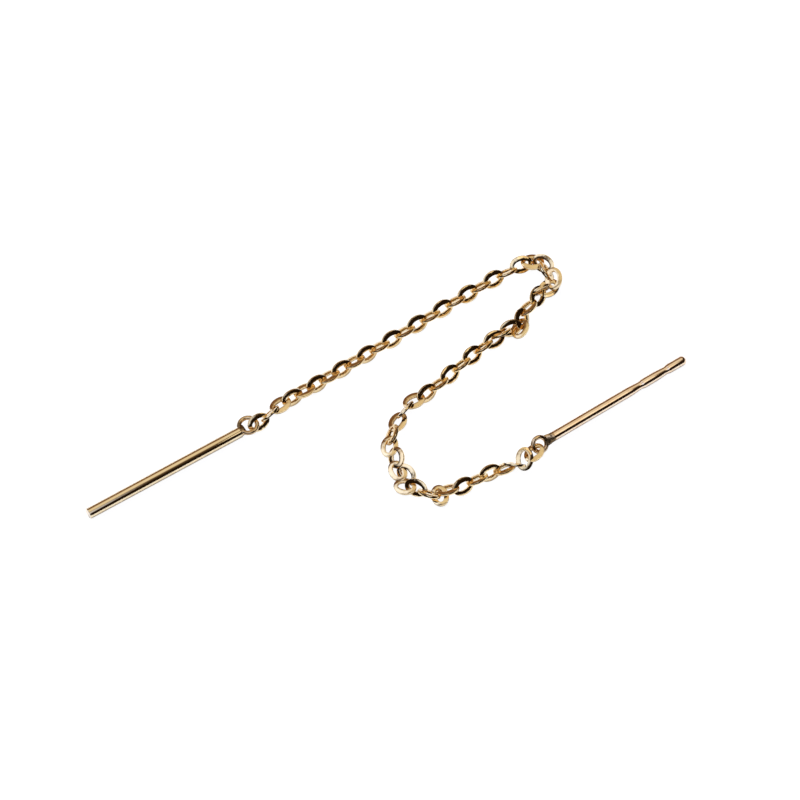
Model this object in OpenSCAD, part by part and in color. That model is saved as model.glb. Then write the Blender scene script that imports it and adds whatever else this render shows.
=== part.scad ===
// Threader earring lying on a flat surface: a round drop bar, a flat-cut cable chain and a notched ear post.
// The chain's first link passes through the bar's eye and its last one through the post's eye.
// The origin is on the surface, at the middle of the footprint, with the longest extent along X.

/* [Drop bar] */
// Length of the bar without its eye
bar_length = 14.1; // [10:0.1:20]
// Diameter of the bar
bar_diameter = 0.9; // [0.8:0.05:1.1]
// Chamfer round both ends of the bar
bar_chamfer = 0.06; // [0.02:0.01:0.1]
// Depth that the bar's eye is let into the end of the bar
bar_eye_sink = 0.07; // [0.04:0.01:0.1]
// Outer diameter of the bar's eye
bar_eye_diameter = 1.78; // [1.7:0.02:1.9]
// Lean of the bar's eye, from lying flat
bar_eye_lean = -4; // [-8:1:-2]
// Height of the bar's eye over the axis of the bar
bar_eye_rise = 0.15; // [0.12:0.01:0.18]
// Distance of the bar's eye to the left of the axis of the bar
bar_eye_offset = 0.12; // [0.05:0.01:0.15]
// Direction of the bar on the surface, in degrees from X
bar_heading = 32; // [28:0.5:36]

/* [Ear post] */
// Length of the post without its eye
post_length = 13.2; // [11:0.1:16]
// Diameter of the post
post_diameter = 0.8; // [0.75:0.01:0.9]
// Outer diameter of the post's eye
post_eye_diameter = 1.6; // [1.56:0.02:1.7]
// Distance from the eye to the end of the post, bridged by solder
post_eye_gap = 0.06; // [0.02:0.01:0.1]
// Lean of the post's eye, from lying flat
post_eye_lean = 42; // [30:1:50]
// Direction of the post on the surface, in degrees from X
post_heading = 34.3; // [32:0.1:37]
// Distance from the tip to the shoulder of the first notch
notch_setback = 1.75; // [1.5:0.05:2.5]
// Distance between the shoulders of the two notches
notch_spacing = 2.5; // [2:0.1:3]
// Length of a notch, from full diameter down to its neck
notch_taper = 1.5; // [1:0.1:1.8]
// Diameter left in the neck of a notch
neck_diameter = 0.66; // [0.6:0.02:0.72]
// Length of a notch's shoulder, from its neck up to full diameter
notch_shoulder = 0.16; // [0.05:0.01:0.25]

/* [Eyes] */
// Diameter of the round wire of both eyes
eye_wire = 0.29; // [0.25:0.01:0.3]
// Diameter of the solder where it meets an eye
solder_neck = 0.38; // [0.34:0.01:0.42]

/* [Chain] */
// Distance from link to link in a taut stretch
link_pitch = 1.24; // [1.22:0.005:1.25]
// Width of a link over its sides
link_width = 1.42; // [1.38:0.01:1.45]
// Half the angle that the tight arc round an end of a link spans
end_arc = 52; // [48:1:56]
// Width of the cut wire, seen on the face of a link
wire_width = 0.24; // [0.22:0.005:0.245]
// Thickness of the cut wire, across the face of a link
wire_thickness = 0.24; // [0.22:0.005:0.245]
// Gap between two links in a taut stretch
link_gap = 0.18; // [0.175:0.005:0.185]

/* [Hidden] */
$fn = 48;

// Columns of the table of how the chain lies: links in the stretch, direction that they have turned to by
// its end, spacing as a share of the pitch, and leans from lying flat of its odd and its even links
LINKS = 0;
HEADING = 1;
SPACING = 2;
ODD_LEAN = 3;
EVEN_LEAN = 4;
chain_lay = [
    [1, 33, 0.98, 46, -58],
    [1, 47, 0.92, 46, -58],
    [2, 33, 0.94, 18, 96],
    [2, 34, 0.95, -6, 73],
    [4, 35, 0.98, -29, 57],
    [6, 35, 1.00, -37, 51],
    [4, 33, 1.00, -40, 48],
    [1, 29, 0.99, -44, 45],
    [1, 20, 0.90, -44, 45],
    [1, -12, 0.88, -45, 45],
    [4, -153.5, 0.875, -45, 45],
    [1, -123, 0.88, -45, 42],
    [1, -108, 0.87, -64, 42],
    [2, -158, 0.85, 92, 12],
    [2, -138, 0.89, 60, -14],
    [3, -134, 0.99, 44, -45],
    [2, -138, 0.95, 38, -56],
    [2, -124, 0.94, 22, -78],
    [2, -109, 0.97, 4, -80],
    [2, -83, 0.92, 20, -60],
    [2, -51, 0.88, 42, -45],
    [2, -22, 0.89, 45, -45],
    [1, 0, 0.89, 45, -45],
    [2, 34, 0.88, 45, -42],
    [2, 34, 0.94, 60, -36],
    [1, 31, 0.88, 60, -9],
    [2, 34, 0.86, -80, 16],
    [1, 36, 0.86, -54, 16],
];

// Middle of the bar's eye on the surface, and the way from it to the first joint of the chain
bar_eye_place = [-11.136, -3.517];
bar_eye_reach = 0.32;
bar_eye_bearing = -10;
first_joint_height = 0.55;
// Way from the last joint of the chain to the middle of the post's eye
post_eye_reach = 0.3;
post_eye_bearing = 70;
last_joint_height = 0.65;

// A link is an oval of four arcs, given by the middle of its wire
overlap = (wire_width + link_gap) / 2;
half_length = link_pitch / 2 + overlap;
half_width = (link_width - wire_width) / 2;
arc_share = (1 - sin(end_arc)) / cos(end_arc);
end_radius = (half_width - half_length * arc_share) / (1 - arc_share);
end_centre = half_length - end_radius;
side_centre = end_centre * tan(end_arc);
side_radius = half_width + side_centre;

// Height of the middle of a link that leans and touches the surface
function rest_height(lean) = abs(sin(lean)) * link_width / 2 + abs(cos(lean)) * wire_thickness / 2;

// Links in all the stretches before this one
function links_before(row) = row == 0 ? 0 : links_before(row - 1) + chain_lay[row - 1][LINKS];

// One row for each link: heading, spacing, lean
links = [
    for (row = [0 : len(chain_lay) - 1])
        let (stretch = chain_lay[row])
        let (before = chain_lay[max(row - 1, 0)][HEADING])
            for (step = [1 : stretch[LINKS]])
                [
                    before + (stretch[HEADING] - before) * step / stretch[LINKS],
                    stretch[SPACING] * link_pitch,
                    (links_before(row) + step) % 2 == 1 ? stretch[ODD_LEAN] : stretch[EVEN_LEAN]
                ]
];
link_count = len(links);

function ahead(heading) = [cos(heading), sin(heading)];

// Joints of the chain on the surface, from the bar's eye to the post's eye
first_joint = bar_eye_place + bar_eye_reach * ahead(bar_eye_bearing);
joints = [
    for (
        k = 0, place = first_joint;
        k <= link_count;
        place = k < link_count ? place + links[k][1] * ahead(links[k][0]) : place,
        k = k + 1
    ) place
];
// A joint is as high as the higher of its two links rests, and those in the eyes have their own height
joint_heights = [
    first_joint_height,
    for (k = [1 : link_count - 1]) max(rest_height(links[k - 1][2]), rest_height(links[k][2])),
    last_joint_height
];
post_eye_place = joints[link_count] + post_eye_reach * ahead(post_eye_bearing);
post_eye_height = (post_eye_diameter - eye_wire) / 2 * sin(post_eye_lean) + eye_wire / 2;

// Where the bar and the post start, measured from the middle of their eyes
bar_start = bar_eye_diameter / 2 - bar_eye_sink;
post_start = post_eye_diameter / 2 + post_eye_gap;
// The post slopes from its eye down to its tip, which touches the surface
post_slope = asin((post_eye_height - post_diameter / 2) / (post_start + post_length - post_diameter / 2));

// Ring of round wire, its middle at the origin
module eye(diameter) {
    rotate_extrude() translate([(diameter - eye_wire) / 2, 0]) circle(d = eye_wire);
}

// Solid turned about the X axis from a profile of [x, radius] points
module turned(profile) {
    first = profile[0][0];
    last = profile[len(profile) - 1][0];
    rotate([0, 90, 0]) rotate_extrude() polygon([
        [0, first],
        for (point = profile) [point[1], point[0]],
        [0, last]
    ]);
}

module drop_bar() {
    radius = bar_diameter / 2;
    back = -bar_start - bar_length;
    bead = radius - bar_eye_rise;
    color("gold") translate([bar_eye_place[0], bar_eye_place[1], radius + bar_eye_rise]) rotate([0, 0, bar_heading]) {
        rotate([bar_eye_lean, 0, 0]) eye(bar_eye_diameter);
        translate([0, -bar_eye_offset, -bar_eye_rise]) turned([
            [back, radius - bar_chamfer],
            [back + bar_chamfer, radius],
            [-bar_start - bar_chamfer, radius],
            [-bar_start, radius - bar_chamfer]
        ]);
        turned([
            [-bar_start - bar_chamfer, bead],
            [-bar_start, bead],
            [(eye_wire - bar_eye_diameter) / 2, solder_neck / 2]
        ]);
    }
}

module ear_post() {
    radius = post_diameter / 2;
    neck = neck_diameter / 2;
    tip = post_start + post_length;
    first_shoulder = tip - notch_setback;
    second_shoulder = first_shoulder - notch_spacing;
    color("gold") translate([post_eye_place[0], post_eye_place[1], post_eye_height])
        rotate([0, post_slope, post_heading]) {
            rotate([post_eye_lean, 0, 0]) eye(post_eye_diameter);
            turned([
                [(post_eye_diameter - eye_wire) / 2, solder_neck / 2],
                [post_start, radius],
                [second_shoulder - notch_taper, radius],
                [second_shoulder - notch_shoulder, neck],
                [second_shoulder, radius],
                [first_shoulder - notch_taper, radius],
                [first_shoulder - notch_shoulder, neck],
                [first_shoulder, radius],
                [tip - radius, radius]
            ]);
            translate([tip - radius, 0, 0]) sphere(r = radius);
        }
}

// Oval of four arcs, as far outside the middle of the wire as asked
module oval(outside) {
    joint_x = end_centre + (end_radius + outside) * cos(end_arc);
    for (side = [-1, 1]) translate([side * end_centre, 0]) circle(r = end_radius + outside);
    intersection() {
        translate([0, side_centre]) circle(r = side_radius + outside);
        translate([0, -side_centre]) circle(r = side_radius + outside);
        square([2 * joint_x, 2 * side_radius], center = true);
    }
}

module link() {
    linear_extrude(height = wire_thickness, center = true) difference() {
        oval(wire_width / 2);
        oval(-wire_width / 2);
    }
}

module cable_chain() {
    color("gold") for (k = [0 : link_count - 1]) {
        heading = links[k][0];
        spacing = links[k][1];
        middle = (joints[k] + joints[k + 1]) / 2;
        height = (joint_heights[k] + joint_heights[k + 1]) / 2;
        slope = atan((joint_heights[k + 1] - joint_heights[k]) / spacing);
        translate([middle[0], middle[1], height])
            rotate([0, -slope, heading])
                rotate([links[k][2], 0, 0])
                    link();
    }
}

drop_bar();
cable_chain();
ear_post();
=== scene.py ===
import math

import bmesh
import bpy
from mathutils import Euler, Matrix, Vector


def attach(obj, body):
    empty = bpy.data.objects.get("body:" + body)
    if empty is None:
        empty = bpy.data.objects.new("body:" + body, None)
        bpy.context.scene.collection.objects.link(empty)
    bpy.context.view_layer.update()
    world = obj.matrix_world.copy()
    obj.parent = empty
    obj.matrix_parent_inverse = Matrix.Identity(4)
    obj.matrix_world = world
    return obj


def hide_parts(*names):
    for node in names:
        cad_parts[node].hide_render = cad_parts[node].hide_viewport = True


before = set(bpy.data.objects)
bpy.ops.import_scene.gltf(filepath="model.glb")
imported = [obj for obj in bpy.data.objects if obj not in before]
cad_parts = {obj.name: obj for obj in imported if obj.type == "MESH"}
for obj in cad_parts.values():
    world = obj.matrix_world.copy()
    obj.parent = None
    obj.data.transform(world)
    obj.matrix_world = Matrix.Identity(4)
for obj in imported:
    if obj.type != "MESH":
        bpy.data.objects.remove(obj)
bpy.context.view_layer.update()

# The drop bar hangs in front of the ear. It is a plain round rod of solid yellow gold, drawn to size, sawn
# square at both ends, its rims broken with a file and the whole of it polished to a mirror.
MM = 0.001
BAR_RADIUS = 0.45 * MM
BAR_LENGTH = 14.1 * MM
BAR_RIM = 0.05 * MM
BAR_RIM_STEPS = 4
BAR_SAW_DISH = 0.008 * MM
BAR_DISH_INSET = 0.4 * BAR_RADIUS
BAR_HEADING = math.radians(32)
BAR_SIDES = 96
BAR_EYE_RADIUS = 0.89 * MM
BAR_EYE_SINK = 0.07 * MM
BAR_EYE_OFFSET = 0.12 * MM
BAR_EYE_RISE = 0.15 * MM
BAR_EYE_PLACE = Vector((-11.136, -3.517, 0)) * MM
BAR_GOLD = (0.93, 0.71, 0.4, 1)
BAR_WARM_GOLD = (0.88, 0.64, 0.33, 1)
# Limits for picking faces and edges: how squarely a face looks along the bar, how far out the bar's rim
# starts as a share of its radius, and how near two places have to be to count as one.
END_FACING = 0.9
RIM_SHARE = 0.995
SAME_PLACE = 1e-7
# Depth of the marks in polished gold, and how far the stain of a soldered joint reaches from its middle.
MARK_DEPTH = 0.0004 * MM
STAIN_REACH = 0.6 * MM


def pick(piece, rule, kind="FACE"):
    """Selects the faces or edges of the piece in edit mode whose middle passes the rule."""
    bpy.ops.mesh.select_mode(type=kind)
    bpy.ops.mesh.select_all(action="DESELECT")
    mesh = bmesh.from_edit_mesh(piece.data)
    chosen = mesh.faces if kind == "FACE" else mesh.edges
    for item in chosen:
        middle = sum((corner.co for corner in item.verts), Vector()) / len(item.verts)
        if rule(item, middle):
            item.select_set(True)
    bmesh.update_edit_mesh(piece.data)


def settle(piece, name, crisp):
    """Applies the piece's place, names it, and shades it smooth but for its sharp edges."""
    piece.name = piece.data.name = name
    bpy.ops.object.select_all(action="DESELECT")
    piece.select_set(True)
    bpy.context.view_layer.objects.active = piece
    bpy.ops.object.transform_apply(location=True, rotation=True, scale=True)
    bpy.ops.object.shade_smooth_by_angle(angle=crisp)
    return piece


def along(heading, slope=0):
    """Direction on the surface that a piece points to, sloping down by the angle given."""
    flat = math.cos(slope)
    return Vector((flat * math.cos(heading), flat * math.sin(heading), -math.sin(slope)))


def node_group(name, inputs, outputs):
    """New node group with its sockets, each listed as a label and a kind, and its input and output nodes."""
    group = bpy.data.node_groups.new(name, "ShaderNodeTree")
    for way, sockets in (("INPUT", inputs), ("OUTPUT", outputs)):
        for label, kind in sockets:
            group.interface.new_socket(label, in_out=way, socket_type="NodeSocket" + kind)
    return group, group.nodes.new("NodeGroupInput"), group.nodes.new("NodeGroupOutput")


def polish_marks():
    """Node group: fine lines left along a piece by a buffing wheel, soft mottling between them and dents."""
    inputs = (
        ("Vector", "Vector"),
        ("Gold", "Color"),
        ("Warm gold", "Color"),
        ("Fine", "Float"),
        ("Rough", "Float"),
        ("Dents", "Float"),
    )
    outputs = (("Colour", "Color"), ("Roughness", "Float"), ("Height", "Float"))
    group, given, result = node_group("polish_marks", inputs, outputs)
    nodes, links = group.nodes, group.links

    stretch = nodes.new("ShaderNodeVectorMath")
    stretch.operation = "MULTIPLY"
    stretch.inputs[1].default_value = (0.06, 1, 1)
    links.new(given.outputs["Vector"], stretch.inputs[0])

    lines = nodes.new("ShaderNodeTexNoise")
    lines.inputs["Detail"].default_value = 4
    lines.inputs["Roughness"].default_value = 0.7
    links.new(stretch.outputs[0], lines.inputs["Vector"])
    links.new(given.outputs["Fine"], lines.inputs["Scale"])

    mottle = nodes.new("ShaderNodeTexNoise")
    mottle.inputs["Scale"].default_value = 900
    mottle.inputs["Detail"].default_value = 3
    links.new(given.outputs["Vector"], mottle.inputs["Vector"])

    tone = nodes.new("ShaderNodeMapRange")
    tone.inputs["From Min"].default_value = 0.35
    tone.inputs["From Max"].default_value = 0.7
    links.new(mottle.outputs["Fac"], tone.inputs["Value"])

    colour = nodes.new("ShaderNodeMix")
    colour.data_type = "RGBA"
    links.new(tone.outputs["Result"], colour.inputs["Factor"])
    links.new(given.outputs["Gold"], colour.inputs["A"])
    links.new(given.outputs["Warm gold"], colour.inputs["B"])
    links.new(colour.outputs["Result"], result.inputs["Colour"])

    haze = nodes.new("ShaderNodeMapRange")
    haze.inputs["From Min"].default_value = 0.3
    haze.inputs["From Max"].default_value = 0.7
    haze.inputs["To Min"].default_value = 0.6
    haze.inputs["To Max"].default_value = 1.5
    links.new(lines.outputs["Fac"], haze.inputs["Value"])

    rough = nodes.new("ShaderNodeMath")
    rough.operation = "MULTIPLY"
    links.new(haze.outputs["Result"], rough.inputs[0])
    links.new(given.outputs["Rough"], rough.inputs[1])
    links.new(rough.outputs[0], result.inputs["Roughness"])

    dents = nodes.new("ShaderNodeTexNoise")
    dents.inputs["Scale"].default_value = 2600
    dents.inputs["Detail"].default_value = 1
    links.new(given.outputs["Vector"], dents.inputs["Vector"])
    height = nodes.new("ShaderNodeMath")
    height.operation = "MULTIPLY_ADD"
    links.new(dents.outputs["Fac"], height.inputs[0])
    links.new(given.outputs["Dents"], height.inputs[1])
    links.new(lines.outputs["Fac"], height.inputs[2])
    links.new(height.outputs[0], result.inputs["Height"])
    return group


def solder_stain():
    """Node group: the dull, pitted skin that is left round a soldered joint, fading out at a ragged edge."""
    inputs = (
        ("Vector", "Vector"),
        ("Joint", "Vector"),
        ("Reach", "Float"),
        ("Strength", "Float"),
        ("Gold", "Color"),
        ("Smooth", "Float"),
    )
    outputs = (("Colour", "Color"), ("Roughness", "Float"))
    group, given, result = node_group("solder_stain", inputs, outputs)
    nodes, links = group.nodes, group.links

    away = nodes.new("ShaderNodeVectorMath")
    away.operation = "DISTANCE"
    links.new(given.outputs["Vector"], away.inputs[0])
    links.new(given.outputs["Joint"], away.inputs[1])
    span = nodes.new("ShaderNodeMath")
    span.operation = "DIVIDE"
    links.new(away.outputs["Value"], span.inputs[0])
    links.new(given.outputs["Reach"], span.inputs[1])

    blots = nodes.new("ShaderNodeTexNoise")
    blots.inputs["Scale"].default_value = 3500
    blots.inputs["Detail"].default_value = 4
    blots.inputs["Roughness"].default_value = 0.65
    links.new(given.outputs["Vector"], blots.inputs["Vector"])
    ragged = nodes.new("ShaderNodeMath")
    ragged.operation = "MULTIPLY_ADD"
    ragged.inputs[1].default_value = 2.2
    links.new(blots.outputs["Fac"], ragged.inputs[0])
    links.new(span.outputs[0], ragged.inputs[2])

    dull = nodes.new("ShaderNodeMapRange")
    dull.interpolation_type = "SMOOTHSTEP"
    dull.inputs["From Min"].default_value = 2.15
    dull.inputs["From Max"].default_value = 1.65
    links.new(ragged.outputs[0], dull.inputs["Value"])
    amount = nodes.new("ShaderNodeMath")
    amount.operation = "MULTIPLY"
    links.new(dull.outputs["Result"], amount.inputs[0])
    links.new(given.outputs["Strength"], amount.inputs[1])

    colour = nodes.new("ShaderNodeMix")
    colour.data_type = "RGBA"
    colour.inputs["B"].default_value = (0.14, 0.085, 0.035, 1)
    links.new(amount.outputs[0], colour.inputs["Factor"])
    links.new(given.outputs["Gold"], colour.inputs["A"])
    links.new(colour.outputs["Result"], result.inputs["Colour"])
    rough = nodes.new("ShaderNodeMix")
    rough.inputs["B"].default_value = 0.38
    links.new(amount.outputs[0], rough.inputs["Factor"])
    links.new(given.outputs["Smooth"], rough.inputs["A"])
    links.new(rough.outputs["Result"], result.inputs["Roughness"])
    return group


def gold(name, colour, warm, rough, heading, dents, fine=9000, joint=None, stain=0):
    """Polished gold with buffing lines along the heading, stained round a soldered joint if one is given."""
    material = bpy.data.materials.new(name)
    material.use_nodes = True
    nodes, links = material.node_tree.nodes, material.node_tree.links
    shader = nodes["Principled BSDF"]
    shader.inputs["Metallic"].default_value = 1.0
    place = nodes.new("ShaderNodeTexCoord")
    turn = nodes.new("ShaderNodeMapping")
    turn.vector_type = "POINT"
    turn.inputs["Rotation"].default_value = (0, 0, -heading)
    links.new(place.outputs["Object"], turn.inputs["Vector"])
    marks = nodes.new("ShaderNodeGroup")
    marks.node_tree = POLISH
    marks.inputs["Gold"].default_value = colour
    marks.inputs["Warm gold"].default_value = warm
    marks.inputs["Fine"].default_value = fine
    marks.inputs["Rough"].default_value = rough
    marks.inputs["Dents"].default_value = dents
    links.new(turn.outputs["Vector"], marks.inputs["Vector"])
    links.new(marks.outputs["Colour"], shader.inputs["Base Color"])
    links.new(marks.outputs["Roughness"], shader.inputs["Roughness"])
    bump = nodes.new("ShaderNodeBump")
    bump.inputs["Distance"].default_value = MARK_DEPTH
    links.new(marks.outputs["Height"], bump.inputs["Height"])
    links.new(bump.outputs["Normal"], shader.inputs["Normal"])
    if joint:
        dulled = nodes.new("ShaderNodeGroup")
        dulled.node_tree = STAIN
        dulled.inputs["Joint"].default_value = joint
        dulled.inputs["Reach"].default_value = STAIN_REACH
        dulled.inputs["Strength"].default_value = stain
        links.new(place.outputs["Object"], dulled.inputs["Vector"])
        links.new(marks.outputs["Colour"], dulled.inputs["Gold"])
        links.new(marks.outputs["Roughness"], dulled.inputs["Smooth"])
        links.new(dulled.outputs["Colour"], shader.inputs["Base Color"])
        links.new(dulled.outputs["Roughness"], shader.inputs["Roughness"])
    return material


POLISH = polish_marks()
STAIN = solder_stain()

bar_eye_middle = BAR_EYE_PLACE + Vector((0, 0, BAR_RADIUS + BAR_EYE_RISE))
bar_forward = along(BAR_HEADING)
bar_left = Vector((-bar_forward.y, bar_forward.x, 0))
bar_end = bar_eye_middle - bar_forward * (BAR_EYE_RADIUS - BAR_EYE_SINK) - bar_left * BAR_EYE_OFFSET
bar_end.z = BAR_RADIUS
bpy.ops.mesh.primitive_cylinder_add(
    vertices=BAR_SIDES,
    radius=BAR_RADIUS,
    depth=BAR_LENGTH,
    end_fill_type="NGON",
    location=bar_end - bar_forward * BAR_LENGTH / 2,
    rotation=(0, math.pi / 2, BAR_HEADING),
)
bar = bpy.context.object
bpy.ops.object.mode_set(mode="EDIT")
pick(bar, lambda face, middle: abs(face.normal.z) > END_FACING)
bpy.ops.mesh.inset(thickness=BAR_RIM)
pick(bar, lambda face, middle: abs(face.normal.z) > END_FACING and len(face.verts) > 4)
bpy.ops.mesh.inset(thickness=BAR_DISH_INSET, depth=-BAR_SAW_DISH)
pick(
    bar,
    lambda edge, middle: abs(abs(middle.z) - BAR_LENGTH / 2) < SAME_PLACE
    and middle.xy.length > BAR_RADIUS * RIM_SHARE,
    "EDGE",
)
bpy.ops.mesh.bevel(offset=BAR_RIM, segments=BAR_RIM_STEPS)
bpy.ops.object.mode_set(mode="OBJECT")
settle(bar, "drop_bar_rod", crisp=math.radians(40))
bar_gold = gold("bar_gold", BAR_GOLD, BAR_WARM_GOLD, rough=0.09, heading=BAR_HEADING, dents=6)
bar.data.materials.append(bar_gold)
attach(bar, "root")

# The bar's eye is a ring of round wire, closed and then soldered to the end of the bar. It sits a little
# high and to one side, with a short bead of solder that runs back over the sawn face.
BAR_EYE_LEAN = math.radians(-4)
BAR_EYE_GOLD = (0.86, 0.6, 0.3, 1)
BAR_EYE_WARM_GOLD = (0.44, 0.25, 0.1, 1)
BAR_EYE_STAIN_OFFSET = Vector((0.1, 0.35, 0.1)) * MM
# The ring's outer radius is this much larger than the solid one's.
BAR_EYE_SPREAD = 0.02 * MM
RING_WIRE = 0.37 * MM
RING_SIDES = 96
WIRE_SIDES = 24
SOLDER_VOXEL = 0.016 * MM
SOLDER_ROUNDS = 8
SOLDER_SIDES = 64
# How far from the middle of its flow solder is wavy, how high its waves are, and how wide.
FLOW_REACH = 0.55 * MM
FLOW_WAVER = 0.012 * MM
FLOW_GRAIN = 0.16 * MM
# A row is one loop of the solder: how far along the rod's heading from its end it is, its half width, its
# half thickness and its rise over the rod's axis.
STATION, WIDE, THICK, RISE = range(4)
BAR_FLARE = (
    (-0.12 * MM, 0.425 * MM, 0.425 * MM, 0),
    (0, 0.42 * MM, 0.41 * MM, 0),
    (0.06 * MM, 0.42 * MM, 0.38 * MM, 0.02 * MM),
    (0.14 * MM, 0.42 * MM, 0.32 * MM, 0.06 * MM),
    (0.24 * MM, 0.42 * MM, 0.25 * MM, 0.1 * MM),
    (0.34 * MM, 0.43 * MM, 0.18 * MM, 0.14 * MM),
    (0.43 * MM, 0.42 * MM, 0.13 * MM, 0.15 * MM),
)


def ring(middle, lean, heading, radius):
    """Ring of round wire, its outer radius given, that leans from lying flat."""
    bpy.ops.mesh.primitive_torus_add(
        location=middle,
        rotation=(lean, 0, heading),
        major_segments=RING_SIDES,
        minor_segments=WIRE_SIDES,
        major_radius=radius - RING_WIRE / 2,
        minor_radius=RING_WIRE / 2,
    )
    return bpy.context.object


def extrude_loop(step, shares, middle):
    """Extrudes what is selected by the step, then resizes it by the shares about its new middle."""
    bpy.ops.mesh.extrude_region_move(TRANSFORM_OT_translate={"value": step})
    bpy.ops.transform.resize(value=shares, center_override=middle)


def flare(loops, place, slope, heading, lean):
    """Solder between a rod's end and its eye, drawn through the loops given."""
    bpy.ops.mesh.primitive_circle_add(vertices=SOLDER_SIDES, radius=MM, fill_type="NGON", location=(0, 0, 0))
    piece = bpy.context.object
    bpy.ops.object.mode_set(mode="EDIT")
    bpy.ops.mesh.select_all(action="SELECT")
    first = loops[0]
    middle = (-first[RISE], 0, first[STATION])
    bpy.ops.transform.translate(value=middle)
    bpy.ops.transform.resize(value=(first[THICK] / MM, first[WIDE] / MM, 1), center_override=middle)
    for before, after in zip(loops, loops[1:]):
        step = (before[RISE] - after[RISE], 0, after[STATION] - before[STATION])
        shares = (after[THICK] / before[THICK], after[WIDE] / before[WIDE], 1)
        extrude_loop(step, shares, (-after[RISE], 0, after[STATION]))
    bpy.ops.mesh.select_all(action="SELECT")
    bpy.ops.mesh.normals_make_consistent(inside=False)
    bpy.ops.object.mode_set(mode="OBJECT")
    piece.rotation_euler = (0, 0, lean)
    bpy.ops.object.transform_apply(location=True, rotation=True, scale=True)
    piece.rotation_euler = (0, math.pi / 2 + slope, heading)
    piece.location = place
    bpy.ops.object.transform_apply(location=True, rotation=True, scale=True)
    return piece


def soldered(parts, name, flow):
    """Joins parts into one skin as solder does: fused, evened out, and wavy near the middle of the flow."""
    bpy.ops.object.select_all(action="DESELECT")
    for part in parts:
        part.select_set(True)
    bpy.context.view_layer.objects.active = parts[0]
    bpy.ops.object.join()
    piece = bpy.context.object
    bpy.ops.object.transform_apply(location=True, rotation=True, scale=True)
    fuse = piece.modifiers.new("fuse", "REMESH")
    fuse.mode = "VOXEL"
    fuse.voxel_size = SOLDER_VOXEL
    fuse.use_smooth_shade = True
    even = piece.modifiers.new("even", "SMOOTH")
    even.factor = 0.5
    even.iterations = SOLDER_ROUNDS
    for step in (fuse, even):
        bpy.ops.object.modifier_apply(modifier=step.name)
    near = piece.vertex_groups.new(name="solder")
    for point in piece.data.vertices:
        share = 1 - (point.co - flow).length / FLOW_REACH
        if share > 0:
            near.add([point.index], min(1, share * 2), "REPLACE")
    grain = bpy.data.textures.new(name + "_flow", "CLOUDS")
    grain.noise_scale = FLOW_GRAIN
    uneven = piece.modifiers.new("uneven", "DISPLACE")
    uneven.texture = grain
    uneven.texture_coords = "LOCAL"
    uneven.strength = FLOW_WAVER * 2
    uneven.mid_level = 0.5
    uneven.vertex_group = "solder"
    bpy.ops.object.modifier_apply(modifier=uneven.name)
    return settle(piece, name, crisp=math.radians(60))


bar_ring = ring(bar_eye_middle, BAR_EYE_LEAN, BAR_HEADING, BAR_EYE_RADIUS + BAR_EYE_SPREAD)
bar_flare = flare(BAR_FLARE, bar_end, 0, BAR_HEADING, 0)
bar_eye = soldered([bar_ring, bar_flare], "drop_bar_eye", bar_end)
bar_eye_gold = gold(
    "bar_eye_gold",
    BAR_EYE_GOLD,
    BAR_EYE_WARM_GOLD,
    rough=0.1,
    heading=BAR_HEADING,
    dents=60,
    joint=bar_end + BAR_EYE_STAIN_OFFSET,
    stain=0.75,
)
bar_eye.data.materials.append(bar_eye_gold)
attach(bar_eye, "root")
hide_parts("drop_bar")
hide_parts("drop_bar")

# The chain is a cable chain of oval links. Each is bent from square wire, closed and soldered, and then the
# made chain is cut flat, so that every link has two bright faces. It lies in an S on the surface.
LINK_PITCH = 1.24 * MM
LINK_WIDTH = 1.42 * MM
END_WIRE = 0.33 * MM
SIDE_WIRE = 0.39 * MM
RIM_THICKNESS = 0.2 * MM
HOLE_THICKNESS = 0.3 * MM
WIRE_BULGE = 0.012 * MM
WIRE_EDGE = 0.018 * MM
WIRE_CREASE = math.radians(40)
LINK_SIDES = 48
CHAIN_GOLD = (0.91, 0.67, 0.33, 1)
CHAIN_WARM_GOLD = (0.8, 0.52, 0.22, 1)
# Each run lies taut. A row is a stretch of it: its links, the direction they have turned to by its end,
# their spacing as a share of the pitch, and the leans that they take in turn.
LINKS, HEADING, SPACING, ONE_LEAN, NEXT_LEAN = range(5)
BAR_RUN = (
    (1, 33, 0.98, 46, -58),
    (1, 47, 0.92, 46, -58),
    (2, 33, 0.94, -9, 60),
    (2, 34, 0.95, -20, 57),
    (4, 35, 0.98, -29, 57),
    (6, 35, 1.00, -37, 51),
    (4, 33, 1.00, -40, 48),
    (1, 29, 0.99, -44, 45),
)
MIDDLE_RUN = (
    (2, -138, 0.89, -45, 45),
    (3, -134, 1.02, -45, 44),
    (2, -138, 1.04, -56, 38),
)
# In the bends the links are slack and bunched, and the near bend's rows run on to the post's eye. A row is
# one link: its middle on the surface and its height in millimetres, then its direction, its lean and how
# steeply it climbs in degrees.
EAST, NORTH, UP, BEARING, LEAN, CLIMB = range(6)
FAR_BEND = (
    (10.75, 11.45, 0.58, 20, 40, 0),
    (11.68, 11.70, 0.52, 0, -3, 0),
    (12.55, 11.58, 0.55, -32, 33, 0),
    (12.78, 10.75, 0.65, -65, -50, 0),
    (13.36, 9.99, 0.78, -90, 13, -12),
    (12.96, 9.34, 0.38, -142, -12, 0),
    (12.30, 8.95, 0.72, -150, 80, 0),
    (12.08, 8.48, 0.58, -115, -40, 0),
    (11.25, 7.40, 0.55, -130, 35, 0),
    (10.75, 6.36, 0.58, -105, -42, 0),
    (10.64, 5.52, 0.46, -108, 17, 0),
    (9.88, 5.48, 0.60, -158, -50, 0),
    (9.10, 5.00, 0.60, -150, 48, 0),
)
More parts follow.
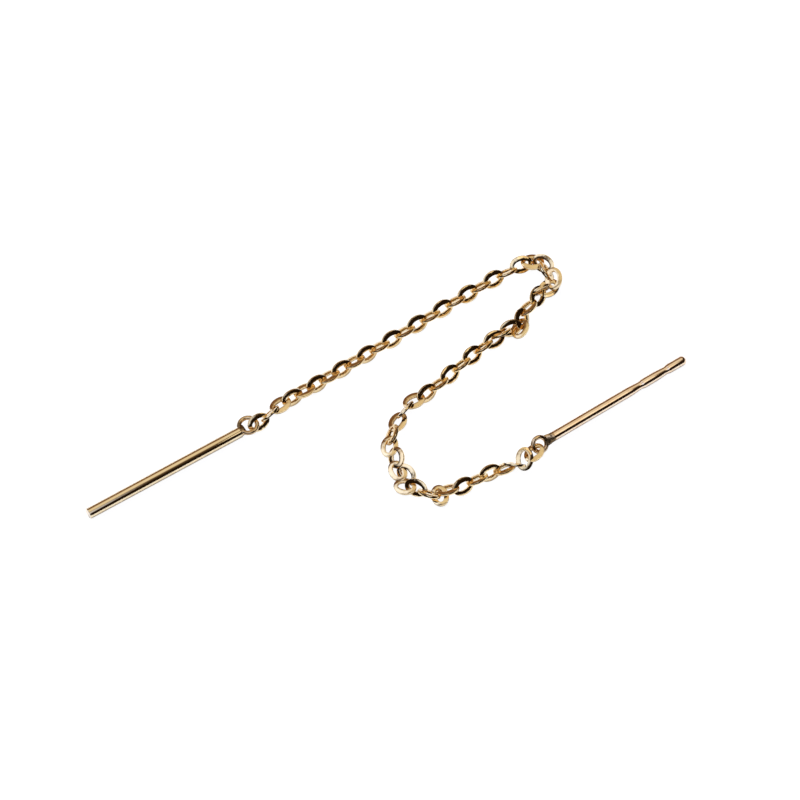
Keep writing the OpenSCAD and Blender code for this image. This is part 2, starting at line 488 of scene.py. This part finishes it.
NEAR_BEND = (
    (2.10, -1.19, 0.45, -150, 8, 0),
    (1.38, -2.17, 0.74, -128, 66, 0),
    (0.80, -3.15, 0.46, -115, 13, 0),
    (0.32, -4.42, 0.66, -103, 50, 0),
    (0.14, -5.42, 0.52, -97, 11, -3),
    (0.70, -6.48, 0.60, -78, 34, 0),
    (0.80, -7.62, 0.42, -60, 15, 0),
    (1.50, -7.96, 0.56, -52, 34, 0),
    (1.38, -9.02, 0.40, -20, 5, 12),
    (2.26, -9.21, 0.60, -25, 45, 0),
    (3.28, -9.78, 0.60, -20, -42, 0),
    (4.14, -9.85, 0.40, -75, 8, 0),
    (4.78, -9.40, 0.55, 20, -30, 0),
    (5.98, -9.08, 0.60, 34, 47, 0),
    (7.11, -8.44, 0.58, 30, -36, 0),
    (8.12, -7.91, 0.68, 28, 60, 0),
    (9.28, -7.47, 0.55, 27, -30, 0),
    (10.02, -7.21, 0.72, -5, -60, 0),
    (10.88, -6.68, 0.75, 88, 8, 26),
    (11.66, -6.05, 0.60, 50, -8, 0),
)
# Where the runs start, and the directions in degrees that they turn from.
FIRST_JOINT_REACH = 0.32 * MM
FIRST_JOINT_BEARING = math.radians(-10)
FIRST_JOINT = BAR_EYE_PLACE + FIRST_JOINT_REACH * along(FIRST_JOINT_BEARING)
FIRST_JOINT_HEIGHT = 0.55 * MM
BAR_RUN_BEARING = 33
MIDDLE_RUN_START = Vector((8.98, 4.73, 0)) * MM
MIDDLE_RUN_BEARING = -158


def rest_height(lean):
    """Height of the middle of a link that leans and touches the surface with its rim or its hole's edge."""
    up, across = abs(math.sin(lean)), abs(math.cos(lean))
    rim = up * LINK_WIDTH / 2 + across * RIM_THICKNESS / 2
    hole = up * (LINK_WIDTH / 2 - SIDE_WIRE) + across * HOLE_THICKNESS / 2
    return max(rim, hole)


def lay_run(rows, place, before, first_height=None):
    """Middle, heading, climb and lean of every link of a taut run, from its first joint and direction."""
    links = []
    for row in rows:
        for step in range(1, row[LINKS] + 1):
            heading = before + (row[HEADING] - before) * step / row[LINKS]
            lean = row[ONE_LEAN] if len(links) % 2 == 0 else row[NEXT_LEAN]
            links.append((math.radians(heading), row[SPACING] * LINK_PITCH, math.radians(lean)))
        before = row[HEADING]
    rests = [rest_height(lean) for heading, spacing, lean in links]
    heights = [max(pair) for pair in zip(rests, rests[1:])]
    heights = [first_height or rests[0]] + heights + [rests[-1]]
    placed = []
    for k, (heading, spacing, lean) in enumerate(links):
        ahead = place + spacing * along(heading)
        middle = (place + ahead) / 2
        middle.z = (heights[k] + heights[k + 1]) / 2
        climb = math.atan2(heights[k + 1] - heights[k], spacing)
        placed.append((middle, heading, climb, lean))
        place = ahead
    return placed


def lay_bend(rows):
    """Middle, heading, climb and lean of every link of a slack bend."""
    return [
        (
            Vector((row[EAST], row[NORTH], row[UP])) * MM,
            math.radians(row[BEARING]),
            math.radians(row[CLIMB]),
            math.radians(row[LEAN]),
        )
        for row in rows
    ]


# The link is drawn as the loop of its rim, which goes up, in over the cut face, down through the hole and
# out again under it. Each row gives the loop's length, its width and its height.
LOOP_LENGTH, LOOP_WIDTH, LOOP_HEIGHT = range(3)
rim_length = LINK_PITCH + 2 * END_WIRE
hole_width = LINK_WIDTH - 2 * SIDE_WIRE
loops = (
    (rim_length + 2 * WIRE_BULGE, LINK_WIDTH + 2 * WIRE_BULGE, 0),
    (rim_length, LINK_WIDTH, RIM_THICKNESS / 2),
    (LINK_PITCH, hole_width, HOLE_THICKNESS / 2),
    (LINK_PITCH - 2 * WIRE_BULGE, hole_width - 2 * WIRE_BULGE, 0),
    (LINK_PITCH, hole_width, -HOLE_THICKNESS / 2),
    (rim_length, LINK_WIDTH, -RIM_THICKNESS / 2),
    (rim_length + 2 * WIRE_BULGE, LINK_WIDTH + 2 * WIRE_BULGE, 0),
)
first = loops[0]
bpy.ops.mesh.primitive_circle_add(vertices=LINK_SIDES, radius=first[LOOP_LENGTH] / 2, location=(0, 0, 0))
link = bpy.context.object
link.name = link.data.name = "pattern_link"
bpy.ops.object.mode_set(mode="EDIT")
bpy.ops.mesh.select_all(action="SELECT")
bpy.ops.transform.resize(value=(1, first[LOOP_WIDTH] / first[LOOP_LENGTH], 1), center_override=(0, 0, 0))
for before, after in zip(loops, loops[1:]):
    step = (0, 0, after[LOOP_HEIGHT] - before[LOOP_HEIGHT])
    shares = (after[LOOP_LENGTH] / before[LOOP_LENGTH], after[LOOP_WIDTH] / before[LOOP_WIDTH], 1)
    extrude_loop(step, shares, (0, 0, after[LOOP_HEIGHT]))
bpy.ops.mesh.select_all(action="SELECT")
bpy.ops.mesh.remove_doubles(threshold=1e-6)
bpy.ops.mesh.normals_make_consistent(inside=False)
pick(
    link,
    lambda edge, middle: len(edge.link_faces) == 2
    and edge.calc_face_angle() > WIRE_CREASE
    and abs(edge.verts[0].co.z - edge.verts[1].co.z) < SAME_PLACE,
    "EDGE",
)
bpy.ops.mesh.bevel(offset=WIRE_EDGE, segments=2)
bpy.ops.object.mode_set(mode="OBJECT")

laid = (
    lay_run(BAR_RUN, FIRST_JOINT, BAR_RUN_BEARING, FIRST_JOINT_HEIGHT)
    + lay_bend(FAR_BEND)
    + lay_run(MIDDLE_RUN, MIDDLE_RUN_START, MIDDLE_RUN_BEARING)
    + lay_bend(NEAR_BEND)
)
links_made = []
for middle, heading, climb, lean in laid:
    copy = link.copy()
    copy.data = link.data.copy()
    bpy.context.collection.objects.link(copy)
    turn = Euler((0, -climb, heading), "XYZ").to_matrix() @ Matrix.Rotation(lean, 3, "X")
    copy.matrix_world = Matrix.Translation(middle) @ turn.to_4x4()
    links_made.append(copy)
bpy.data.objects.remove(link)

bpy.ops.object.select_all(action="DESELECT")
for copy in links_made:
    copy.select_set(True)
bpy.context.view_layer.objects.active = links_made[0]
bpy.ops.object.join()
chain = settle(bpy.context.object, "cable_chain_links", crisp=math.radians(32))
chain_gold = gold("chain_gold", CHAIN_GOLD, CHAIN_WARM_GOLD, rough=0.08, heading=0, dents=55, fine=6000)
chain.data.materials.append(chain_gold)
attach(chain, "root")
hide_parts("cable_chain")

# The ear post is a straight round wire that threads through the piercing and draws the chain after it. Its
# tip is rounded, and two friction notches filed near it hold a push-on back.
POST_RADIUS = 0.4 * MM
POST_LENGTH = 13.2 * MM
POST_HEADING = math.radians(34.3)
POST_SIDES = 96
POST_EYE_RADIUS = 0.8 * MM
POST_EYE_PLACE = Vector((12.248, -5.166, 0)) * MM
POST_EYE_GAP = 0.06 * MM
POST_EYE_LEAN = math.radians(42)
POST_EYE_FOOT = 0.145 * MM
NOTCH_SETBACK = 1.75 * MM
NOTCH_SPACING = 2.5 * MM
NOTCH_TAPER = 1.5 * MM
NOTCH_NECK = 0.33 * MM
TIP_STEPS = 9
COLLAR_START = 0.33 * MM
POST_GOLD = (0.95, 0.71, 0.44, 1)
POST_WARM_GOLD = (0.89, 0.6, 0.34, 1)
# A row is a place along a notch, as a share of its taper from its shoulder, and how deep it is cut there, as
# a share of the full cut.
NOTCH_CURVE = (
    (-1.05, 0),
    (-0.85, 0.06),
    (-0.65, 0.25),
    (-0.45, 0.55),
    (-0.28, 0.86),
    (-0.17, 1),
    (-0.11, 0.93),
    (-0.05, 0.62),
    (0.01, 0.25),
    (0.07, 0.05),
    (0.13, 0),
)

# The eye leans up from its foot, which is the lowest place along the middle of its wire.
post_eye_middle = POST_EYE_PLACE.copy()
post_eye_middle.z = (POST_EYE_RADIUS - POST_EYE_FOOT) * math.sin(POST_EYE_LEAN) + POST_EYE_FOOT
post_start = POST_EYE_RADIUS + POST_EYE_GAP
post_slope = math.asin((post_eye_middle.z - POST_RADIUS) / (post_start + POST_LENGTH - POST_RADIUS))

tip_centre = POST_LENGTH - POST_RADIUS
post_profile = []
for shoulder in (POST_LENGTH - NOTCH_SETBACK - NOTCH_SPACING, POST_LENGTH - NOTCH_SETBACK):
    for share, cut in NOTCH_CURVE:
        post_profile.append((shoulder + share * NOTCH_TAPER, POST_RADIUS - cut * (POST_RADIUS - NOTCH_NECK)))
for step in range(TIP_STEPS):
    angle = math.pi / 2 * step / TIP_STEPS
    post_profile.append((tip_centre + POST_RADIUS * math.sin(angle), POST_RADIUS * math.cos(angle)))

bpy.ops.mesh.primitive_circle_add(vertices=POST_SIDES, radius=POST_RADIUS, fill_type="NGON")
post = bpy.context.object
bpy.ops.object.mode_set(mode="EDIT")
bpy.ops.mesh.select_all(action="SELECT")
bpy.ops.transform.translate(value=(0, 0, COLLAR_START))
at, radius = COLLAR_START, POST_RADIUS
for station, girth in post_profile:
    share = girth / radius
    extrude_loop((0, 0, station - at), (share, share, 1), (0, 0, station))
    at, radius = station, girth
bpy.ops.mesh.extrude_region_move(TRANSFORM_OT_translate={"value": (0, 0, POST_LENGTH - at)})
bpy.ops.mesh.merge(type="CENTER")
bpy.ops.mesh.select_all(action="SELECT")
bpy.ops.mesh.normals_make_consistent(inside=False)
bpy.ops.object.mode_set(mode="OBJECT")
post.rotation_euler = (0, math.pi / 2 + post_slope, POST_HEADING)
post_forward = along(POST_HEADING, post_slope)
post_root = post_eye_middle + post_forward * post_start
post.location = post_root
settle(post, "ear_post_shaft", crisp=math.radians(40))
post_gold = gold("post_gold", POST_GOLD, POST_WARM_GOLD, rough=0.09, heading=POST_HEADING, dents=8)
post.data.materials.append(post_gold)
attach(post, "root")

# The post's eye is a second ring of round wire, tipped on its side. The solder that joins it to the post has
# drawn up into a concave collar, as thick as the post at one end and as the wire at the other.
POST_FLARE = (
    (0.42 * MM, 0.392 * MM, 0.392 * MM, 0),
    (0.34 * MM, 0.397 * MM, 0.397 * MM, 0),
    (0.24 * MM, 0.4 * MM, 0.385 * MM, 0),
    (0.12 * MM, 0.4 * MM, 0.34 * MM, 0),
    (0.02 * MM, 0.41 * MM, 0.28 * MM, 0),
    (-0.08 * MM, 0.43 * MM, 0.22 * MM, 0),
    (-0.18 * MM, 0.45 * MM, 0.18 * MM, 0),
    (-0.3 * MM, 0.47 * MM, 0.15 * MM, 0),
    (-0.42 * MM, 0.48 * MM, 0.12 * MM, 0),
)
# The ring lies this much nearer to the chain than the solid one, and its outer radius is this much smaller.
POST_EYE_REACH = 0.18 * MM
POST_EYE_SHRINK = 0.025 * MM
POST_EYE_GOLD = (0.76, 0.51, 0.25, 1)
POST_EYE_WARM_GOLD = (0.48, 0.28, 0.12, 1)
# How far the middles of the stain and of the solder's flow are from the post's end towards its eye, and how
# far aside from there the stain's middle is.
POST_EYE_STAIN_BACK = 0.2 * MM
POST_FLOW_BACK = 0.15 * MM
POST_EYE_STAIN_OFFSET = Vector((0.1, -0.25, 0)) * MM
post_ring_middle = post_eye_middle - post_forward * POST_EYE_REACH
post_ring = ring(post_ring_middle, POST_EYE_LEAN, POST_HEADING, POST_EYE_RADIUS - POST_EYE_SHRINK)
post_flare = flare(POST_FLARE, post_root, post_slope, POST_HEADING, POST_EYE_LEAN)
post_eye = soldered([post_ring, post_flare], "ear_post_eye", post_root - post_forward * POST_FLOW_BACK)
post_eye_gold = gold(
    "post_eye_gold",
    POST_EYE_GOLD,
    POST_EYE_WARM_GOLD,
    rough=0.13,
    heading=POST_HEADING,
    dents=30,
    joint=post_root - post_forward * POST_EYE_STAIN_BACK + POST_EYE_STAIN_OFFSET,
    stain=0.95,
)
post_eye.data.materials.append(post_eye_gold)
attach(post_eye, "root")
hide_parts("ear_post")
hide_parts("ear_post")

# The surface is a sheet of white board, larger than the view. It glows, so that it looks evenly white, while
# its reflection in the gold is dimmer and a little blue.
BOARD_SIZE = 1.2
REFLECTED_PAPER = (0.7, 0.78, 0.94, 1)
SEEN_PAPER = (0.12, 0.12, 0.12, 1)
bpy.ops.mesh.primitive_plane_add(size=BOARD_SIZE, location=(0, 0, 0))
board = bpy.context.object
board.name = board.data.name = "white_board"
paper = bpy.data.materials.new("white_paper")
paper.use_nodes = True
nodes, links = paper.node_tree.nodes, paper.node_tree.links
sheet = nodes["Principled BSDF"]
sheet.inputs["Roughness"].default_value = 0.9
sheet.inputs["Emission Color"].default_value = (1, 1, 1, 1)
path = nodes.new("ShaderNodeLightPath")
tone = nodes.new("ShaderNodeMix")
tone.data_type = "RGBA"
tone.inputs["A"].default_value = REFLECTED_PAPER
tone.inputs["B"].default_value = SEEN_PAPER
links.new(path.outputs["Is Camera Ray"], tone.inputs["Factor"])
links.new(tone.outputs["Result"], sheet.inputs["Base Color"])
glow = nodes.new("ShaderNodeMapRange")
glow.inputs["To Min"].default_value = 0.14
glow.inputs["To Max"].default_value = 0.95
links.new(path.outputs["Is Camera Ray"], glow.inputs["Value"])
links.new(glow.outputs["Result"], sheet.inputs["Emission Strength"])
board.data.materials.append(paper)

# The room is dark and brown, with a soft box overhead and a little behind, a bluish window high at the left
# and a bluish card round the camera. A broad lamp high up behind lights the board, and a small round one
# hangs over the post.
ROOM = (0.015, 0.009, 0.005, 1)
# A row is a soft-edged patch of the room, laid over those before it: the direction of its middle, the angles
# from there in degrees up to which it is full and from which it is gone, and its colour.
DIRECTION, FULL_TO, NONE_FROM, COLOUR = range(4)
PATCHES = (
    ((0, 0.1, 1), 12, 56, (0.12, 0.08, 0.05, 1)),
    ((-0.25, 0.95, 0.15), 20, 62, (0.22, 0.13, 0.075, 1)),
    ((0.03, 0.38, 0.92), 13, 35, (0.84, 0.83, 0.8, 1)),
    ((-0.62, 0.2, 0.76), 8, 27, (1.2, 1.45, 2.3, 1)),
    ((-0.05, -0.5, 0.86), 8, 30, (1.05, 1.25, 1.9, 1)),
)
NEAR_LAMP_PLACE = Vector((44.3, -9.5, 64.7)) * MM
NEAR_LAMP_TARGET = Vector((17.5, -1.5, 0.5)) * MM
scene = bpy.context.scene
scene.view_settings.view_transform = "Standard"
world = bpy.data.worlds.new("studio")
scene.world = world
world.use_nodes = True
nodes, links = world.node_tree.nodes, world.node_tree.links
backdrop = nodes["Background"]
sky = nodes.new("ShaderNodeTexCoord")
room = None
for row in PATCHES:
    dot = nodes.new("ShaderNodeVectorMath")
    dot.operation = "DOT_PRODUCT"
    dot.inputs[1].default_value = Vector(row[DIRECTION]).normalized()
    links.new(sky.outputs["Generated"], dot.inputs[0])
    edge = nodes.new("ShaderNodeMapRange")
    edge.interpolation_type = "SMOOTHSTEP"
    edge.inputs["From Min"].default_value = math.cos(math.radians(row[NONE_FROM]))
    edge.inputs["From Max"].default_value = math.cos(math.radians(row[FULL_TO]))
    links.new(dot.outputs["Value"], edge.inputs["Value"])
    over = nodes.new("ShaderNodeMix")
    over.data_type = "RGBA"
    links.new(edge.outputs["Result"], over.inputs["Factor"])
    if room is None:
        over.inputs["A"].default_value = ROOM
    else:
        links.new(room, over.inputs["A"])
    over.inputs["B"].default_value = row[COLOUR]
    room = over.outputs["Result"]
# The camera itself sees a plain pale wall, where the board ends.
ray = nodes.new("ShaderNodeLightPath")
wall = nodes.new("ShaderNodeMix")
wall.data_type = "RGBA"
wall.inputs["B"].default_value = (0.86, 0.86, 0.86, 1)
links.new(ray.outputs["Is Camera Ray"], wall.inputs["Factor"])
links.new(room, wall.inputs["A"])
links.new(wall.outputs["Result"], backdrop.inputs["Color"])

lamp = bpy.data.lights.new("strip_lamp", "SUN")
lamp.energy = 3.6
lamp.angle = math.radians(26)
lamp_stand = bpy.data.objects.new("strip_lamp", lamp)
lamp_stand.rotation_euler = (math.radians(-44), 0, math.radians(25))
lamp_stand.visible_glossy = False
scene.collection.objects.link(lamp_stand)

disc = bpy.data.lights.new("near_lamp", "AREA")
disc.shape = "DISK"
disc.size = 32 * MM
disc.energy = 0.0026
near_lamp = bpy.data.objects.new("near_lamp", disc)
near_lamp.location = NEAR_LAMP_PLACE
near_lamp_aim = NEAR_LAMP_TARGET - NEAR_LAMP_PLACE
near_lamp.rotation_euler = near_lamp_aim.to_track_quat("-Z", "Y").to_euler()
near_lamp.visible_camera = False
scene.collection.objects.link(near_lamp)

# The camera looks down at 60 degrees from in front, through a long lens. It aims a little to the right of
# the earring's middle and in front of it, as in the photograph.
VIEW_WIDTH = 64 * MM
VIEW_MIDDLE = Vector((0.976, -0.845, 0)) * MM
VIEW_ELEVATION = math.radians(60)
VIEW_DISTANCE = 0.6
lens = bpy.data.cameras.new("camera")
lens.sensor_width = 36
lens.lens = lens.sensor_width * VIEW_DISTANCE / VIEW_WIDTH
lens.clip_start = 0.01
camera = bpy.data.objects.new("camera", lens)
towards_camera = Vector((0, -math.cos(VIEW_ELEVATION), math.sin(VIEW_ELEVATION)))
camera.location = VIEW_MIDDLE + VIEW_DISTANCE * towards_camera
camera.rotation_euler = (math.pi / 2 - VIEW_ELEVATION, 0, 0)
scene.collection.objects.link(camera)
scene.camera = camera
